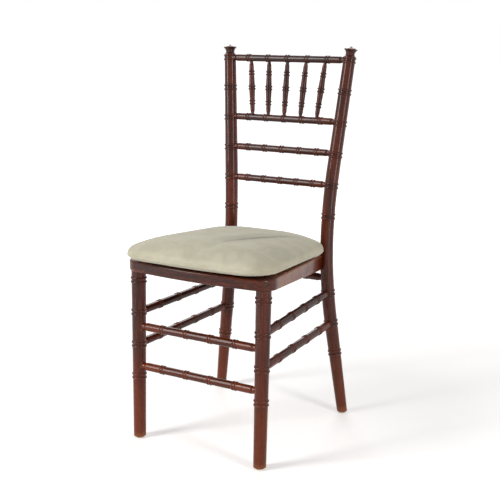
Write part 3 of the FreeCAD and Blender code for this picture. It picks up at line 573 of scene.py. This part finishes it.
def loops_to_mesh(name, loops, cap_first, cap_last):
    """A skin over closed loops that have the same number of points."""
    count = len(loops[0])
    points = [tuple(point) for loop in loops for point in loop]
    faces = []
    for row in range(len(loops) - 1):
        for index in range(count):
            after = (index + 1) % count
            low, high = row * count, (row + 1) * count
            faces.append((low + index, low + after, high + after, high + index))
    if cap_first:
        faces.append(tuple(reversed(range(count))))
    if cap_last:
        faces.append(tuple(range((len(loops) - 1) * count, len(loops) * count)))
    mesh = bpy.data.meshes.new(name)
    mesh.from_pydata(points, [], faces)
    mesh.update()
    return mesh


def hung_on_cushion(piece, material):
    piece.data.transform(TILT)
    smooth_shade(piece.data)
    piece.data.materials.append(material)
    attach(piece, "cushion")


def dust_cloth_staples(loop, high):
    """A ring of staples through the hem, just inside the cloth's edge."""
    boxes = []
    for place, direction in walked(loop, STAPLE_SPACING):
        side = np.array((-direction[1], direction[0], 0.0))
        centre = place + side * STAPLE_INSET
        top = high - CLOTH_RECESS - HEM_DROP
        box = []
        for level in (top, top - STAPLE_DROP):
            for along, across in ((-1, -1), (1, -1), (1, 1), (-1, 1)):
                lengthways = direction * along * STAPLE_LENGTH / 2
                corner = centre + lengthways + side * across * STAPLE_WIDTH / 2
                box.append((corner[0], corner[1], level))
        boxes.append(box)
    corners = [tuple(corner) for box in boxes for corner in box]
    sides = ((0, 1, 5, 4), (1, 2, 6, 5), (2, 3, 7, 6), (3, 0, 4, 7), (4, 5, 6, 7), (3, 2, 1, 0))
    faces = []
    for number in range(len(boxes)):
        for side in sides:
            faces.append(tuple(8 * number + corner for corner in side))
    mesh = bpy.data.meshes.new("dust_cloth_staples")
    mesh.from_pydata(corners, [], faces)
    staples = new_object("dust_cloth_staples", mesh)
    hung_on_cushion(staples, bpy.data.materials["zinc_steel"])
    return staples


def dust_cloth():
    points = coordinates_of(level_mesh("cushion_under_cloth"))
    edge, middle = outline_of(points)
    high = points[:, 2].max()
    loop = np.array([place for place, _ in walked(edge, CLOTH_STEP)])
    inward = (middle - loop) / np.linalg.norm(middle - loop, axis=1, keepdims=True)
    loop[:, 2] = high - CLOTH_RECESS
    inward[:, 2] = 0.0
    rings = [middle * (1 - share) + loop * share for share in CLOTH_RINGS]
    for number, ring in enumerate(rings):
        wave = np.sin(ring[:, 0] * CLOTH_WAVES[0] + number) * np.sin(ring[:, 1] * CLOTH_WAVES[1])
        ring[:, 2] = high - CLOTH_LEVEL + CLOTH_WAVE * wave
    cloth = new_object("dust_cloth", loops_to_mesh("dust_cloth", rings, False, True))
    # The cloth is black, as dust covers are, and black also as painted shade for the dark gap under the
    # cushion's edge
    material = black_weave("under_cloth", 900.0, 0.35)
    hung_on_cushion(cloth, material)
    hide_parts("cushion_under_cloth")

    under = np.array((0.0, 0.0, -HEM_DROP))
    hem_loops = [loop, loop + under, loop + inward * HEM_WIDTH + under, loop + inward * HEM_WIDTH]
    hem = new_object("dust_cloth_hem", loops_to_mesh("dust_cloth_hem", hem_loops, False, False))
    hung_on_cushion(hem, material)

    staples = dust_cloth_staples(loop, high)


def tape_pads(node, body, material):
    """Strips of fastening tape with rounded corners, each in its CAD pad's place."""
    meshes = []
    for low, high in islands(level_mesh(node)):
        loops = []
        levels = (
            (low[2], TAPE_EDGE),
            (low[2] + TAPE_EDGE, 0.0),
            (high[2] - TAPE_EDGE, 0.0),
            (high[2], TAPE_EDGE),
        )
        for level, inset in levels:
            ring = []
            for number in range(TAPE_POINTS):
                angle = math.radians((number + 0.5) * 360.0 / TAPE_POINTS)
                across, along = math.cos(angle), math.sin(angle)
                reach = TAPE_CORNER - inset
                side = high[0] if across > 0 else low[0]
                end = high[1] if along > 0 else low[1]
                x = side - math.copysign(TAPE_CORNER, across) + across * reach
                y = end - math.copysign(TAPE_CORNER, along) + along * reach
                ring.append((x, y, level))
            loops.append(ring)
        meshes.append(loops_to_mesh(node, loops, True, True))
    form = bmesh.new()
    for mesh in meshes:
        form.from_mesh(mesh)
    whole = bpy.data.meshes.new(node + "_tape")
    form.to_mesh(whole)
    form.free()
    whole.transform(TILT)
    whole.materials.append(material)
    piece = new_object(node + "_tape", whole)
    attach(piece, body)
    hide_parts(node)


dust_cloth()
tape_pads("hook_pads", "cushion", black_weave("pad_tape_hooks", 1500.0, 0.8))
tape_pads("loop_pads", "chair_frame", black_weave("pad_tape_loops", 2400.0, 0.5))


# Floor, light and camera

FLOOR_REACH = 14.0
# The floor's own white as the camera sees it, under the chair and away from it
GLOW_NEAR = 0.38
GLOW_FAR = 0.95
GLOW_REACH = (0.4, 3.5)

def seen_rays(tree):
    """1 on the rays by which the background is seen, straight or in a reflection or through glass."""
    rays = tree.nodes.new("ShaderNodeLightPath").outputs
    mirrored = math_node(tree, "MAXIMUM", rays["Is Glossy Ray"], rays["Is Transmission Ray"])
    return math_node(tree, "MAXIMUM", rays["Is Camera Ray"], mirrored)


def floor_and_light():
    mesh = bpy.data.meshes.new("floor")
    corners = [(x * FLOOR_REACH, y * FLOOR_REACH, 0) for x, y in ((-1, -1), (1, -1), (1, 1), (-1, 1))]
    mesh.from_pydata(corners, [], [(0, 1, 2, 3)])
    floor = bpy.data.objects.new("floor", mesh)
    bpy.context.scene.collection.objects.link(floor)
    material, tree, shader = new_material("floor")
    grain = noise(tree, coordinates(tree, (1.0, 1.0, 1.0)), 3.0, 2.0, 0.5)
    colour = mix_colour(tree, grain, (0.88, 0.88, 0.88), (0.91, 0.91, 0.91))
    tree.links.new(colour, shader.inputs["Base Color"])
    shader.inputs["Roughness"].default_value = 0.9
    shader.inputs["Specular IOR Level"].default_value = 0.0
    glow = tree.nodes.new("ShaderNodeEmission")
    distance = tree.nodes.new("ShaderNodeVectorMath")
    distance.operation = "LENGTH"
    source = tree.nodes.new("ShaderNodeTexCoord")
    tree.links.new(source.outputs["Object"], distance.inputs[0])
    glowing = remap(tree, distance.outputs["Value"], *GLOW_REACH, GLOW_NEAR, GLOW_FAR)
    tree.links.new(glowing, glow.inputs["Strength"])
    both = tree.nodes.new("ShaderNodeAddShader")
    seen = tree.nodes.new("ShaderNodeMixShader")
    output = next(node for node in tree.nodes if node.bl_idname == "ShaderNodeOutputMaterial")
    tree.links.new(shader.outputs[0], both.inputs[0])
    tree.links.new(glow.outputs[0], both.inputs[1])
    tree.links.new(seen_rays(tree), seen.inputs["Fac"])
    tree.links.new(shader.outputs[0], seen.inputs[1])
    tree.links.new(both.outputs[0], seen.inputs[2])
    tree.links.new(seen.outputs[0], output.inputs["Surface"])
    mesh.materials.append(material)

    world = bpy.data.worlds.new("studio")
    bpy.context.scene.world = world
    world.use_nodes = True
    tree = world.node_tree
    tree.nodes.clear()
    output = tree.nodes.new("ShaderNodeOutputWorld")
    fill = tree.nodes.new("ShaderNodeBackground")
    fill.inputs["Color"].default_value = (1.0, 1.0, 1.0, 1.0)
    fill.inputs["Strength"].default_value = 0.22
    seen = tree.nodes.new("ShaderNodeBackground")
    seen.inputs["Color"].default_value = (1.0, 1.0, 1.0, 1.0)
    seen.inputs["Strength"].default_value = 1.0
    mix = tree.nodes.new("ShaderNodeMixShader")
    tree.links.new(seen_rays(tree), mix.inputs["Fac"])
    tree.links.new(fill.outputs[0], mix.inputs[1])
    tree.links.new(seen.outputs[0], mix.inputs[2])
    tree.links.new(mix.outputs[0], output.inputs["Surface"])


def area_light(name, place, target, width, height, power, colour=(1.0, 1.0, 1.0)):
    light = bpy.data.lights.new(name, "AREA")
    light.shape = "RECTANGLE"
    light.size = width
    light.size_y = height
    light.energy = power
    light.color = colour
    lamp = bpy.data.objects.new(name, light)
    lamp.location = place
    lamp.rotation_euler = (Vector(target) - Vector(place)).to_track_quat("-Z", "Y").to_euler()
    bpy.context.scene.collection.objects.link(lamp)


def camera():
    forward = (CAMERA_TARGET - CAMERA_PLACE).normalized()
    right = forward.cross(Vector((0, 0, 1))).normalized()
    up = right.cross(forward)
    roll = math.radians(CAMERA_ROLL)
    rolled_right = right * math.cos(roll) + up * math.sin(roll)
    rolled_up = up * math.cos(roll) - right * math.sin(roll)
    data = bpy.data.cameras.new("camera")
    data.lens = CAMERA_LENS
    data.sensor_width = 36.0
    data.clip_end = 100.0
    eye = bpy.data.objects.new("camera", data)
    matrix = Matrix((rolled_right, rolled_up, -forward)).transposed().to_4x4()
    matrix.translation = CAMERA_PLACE
    eye.matrix_world = matrix
    bpy.context.scene.collection.objects.link(eye)
    bpy.context.scene.camera = eye


floor_and_light()
area_light("key", (-1.7, -2.3, 2.0), (0, 0, 0.5), 0.9, 2.4, 80.0, (1.0, 0.97, 0.94))
area_light("side", (2.9, -0.7, 1.3), (0, 0, 0.5), 0.6, 2.6, 44.0, (1.0, 0.93, 0.90))
area_light("back", (-1.2, 2.2, 2.0), (0, 0, 0.6), 1.4, 1.8, 25.0)
camera()

scene = bpy.context.scene
scene.view_settings.view_transform = "Standard"
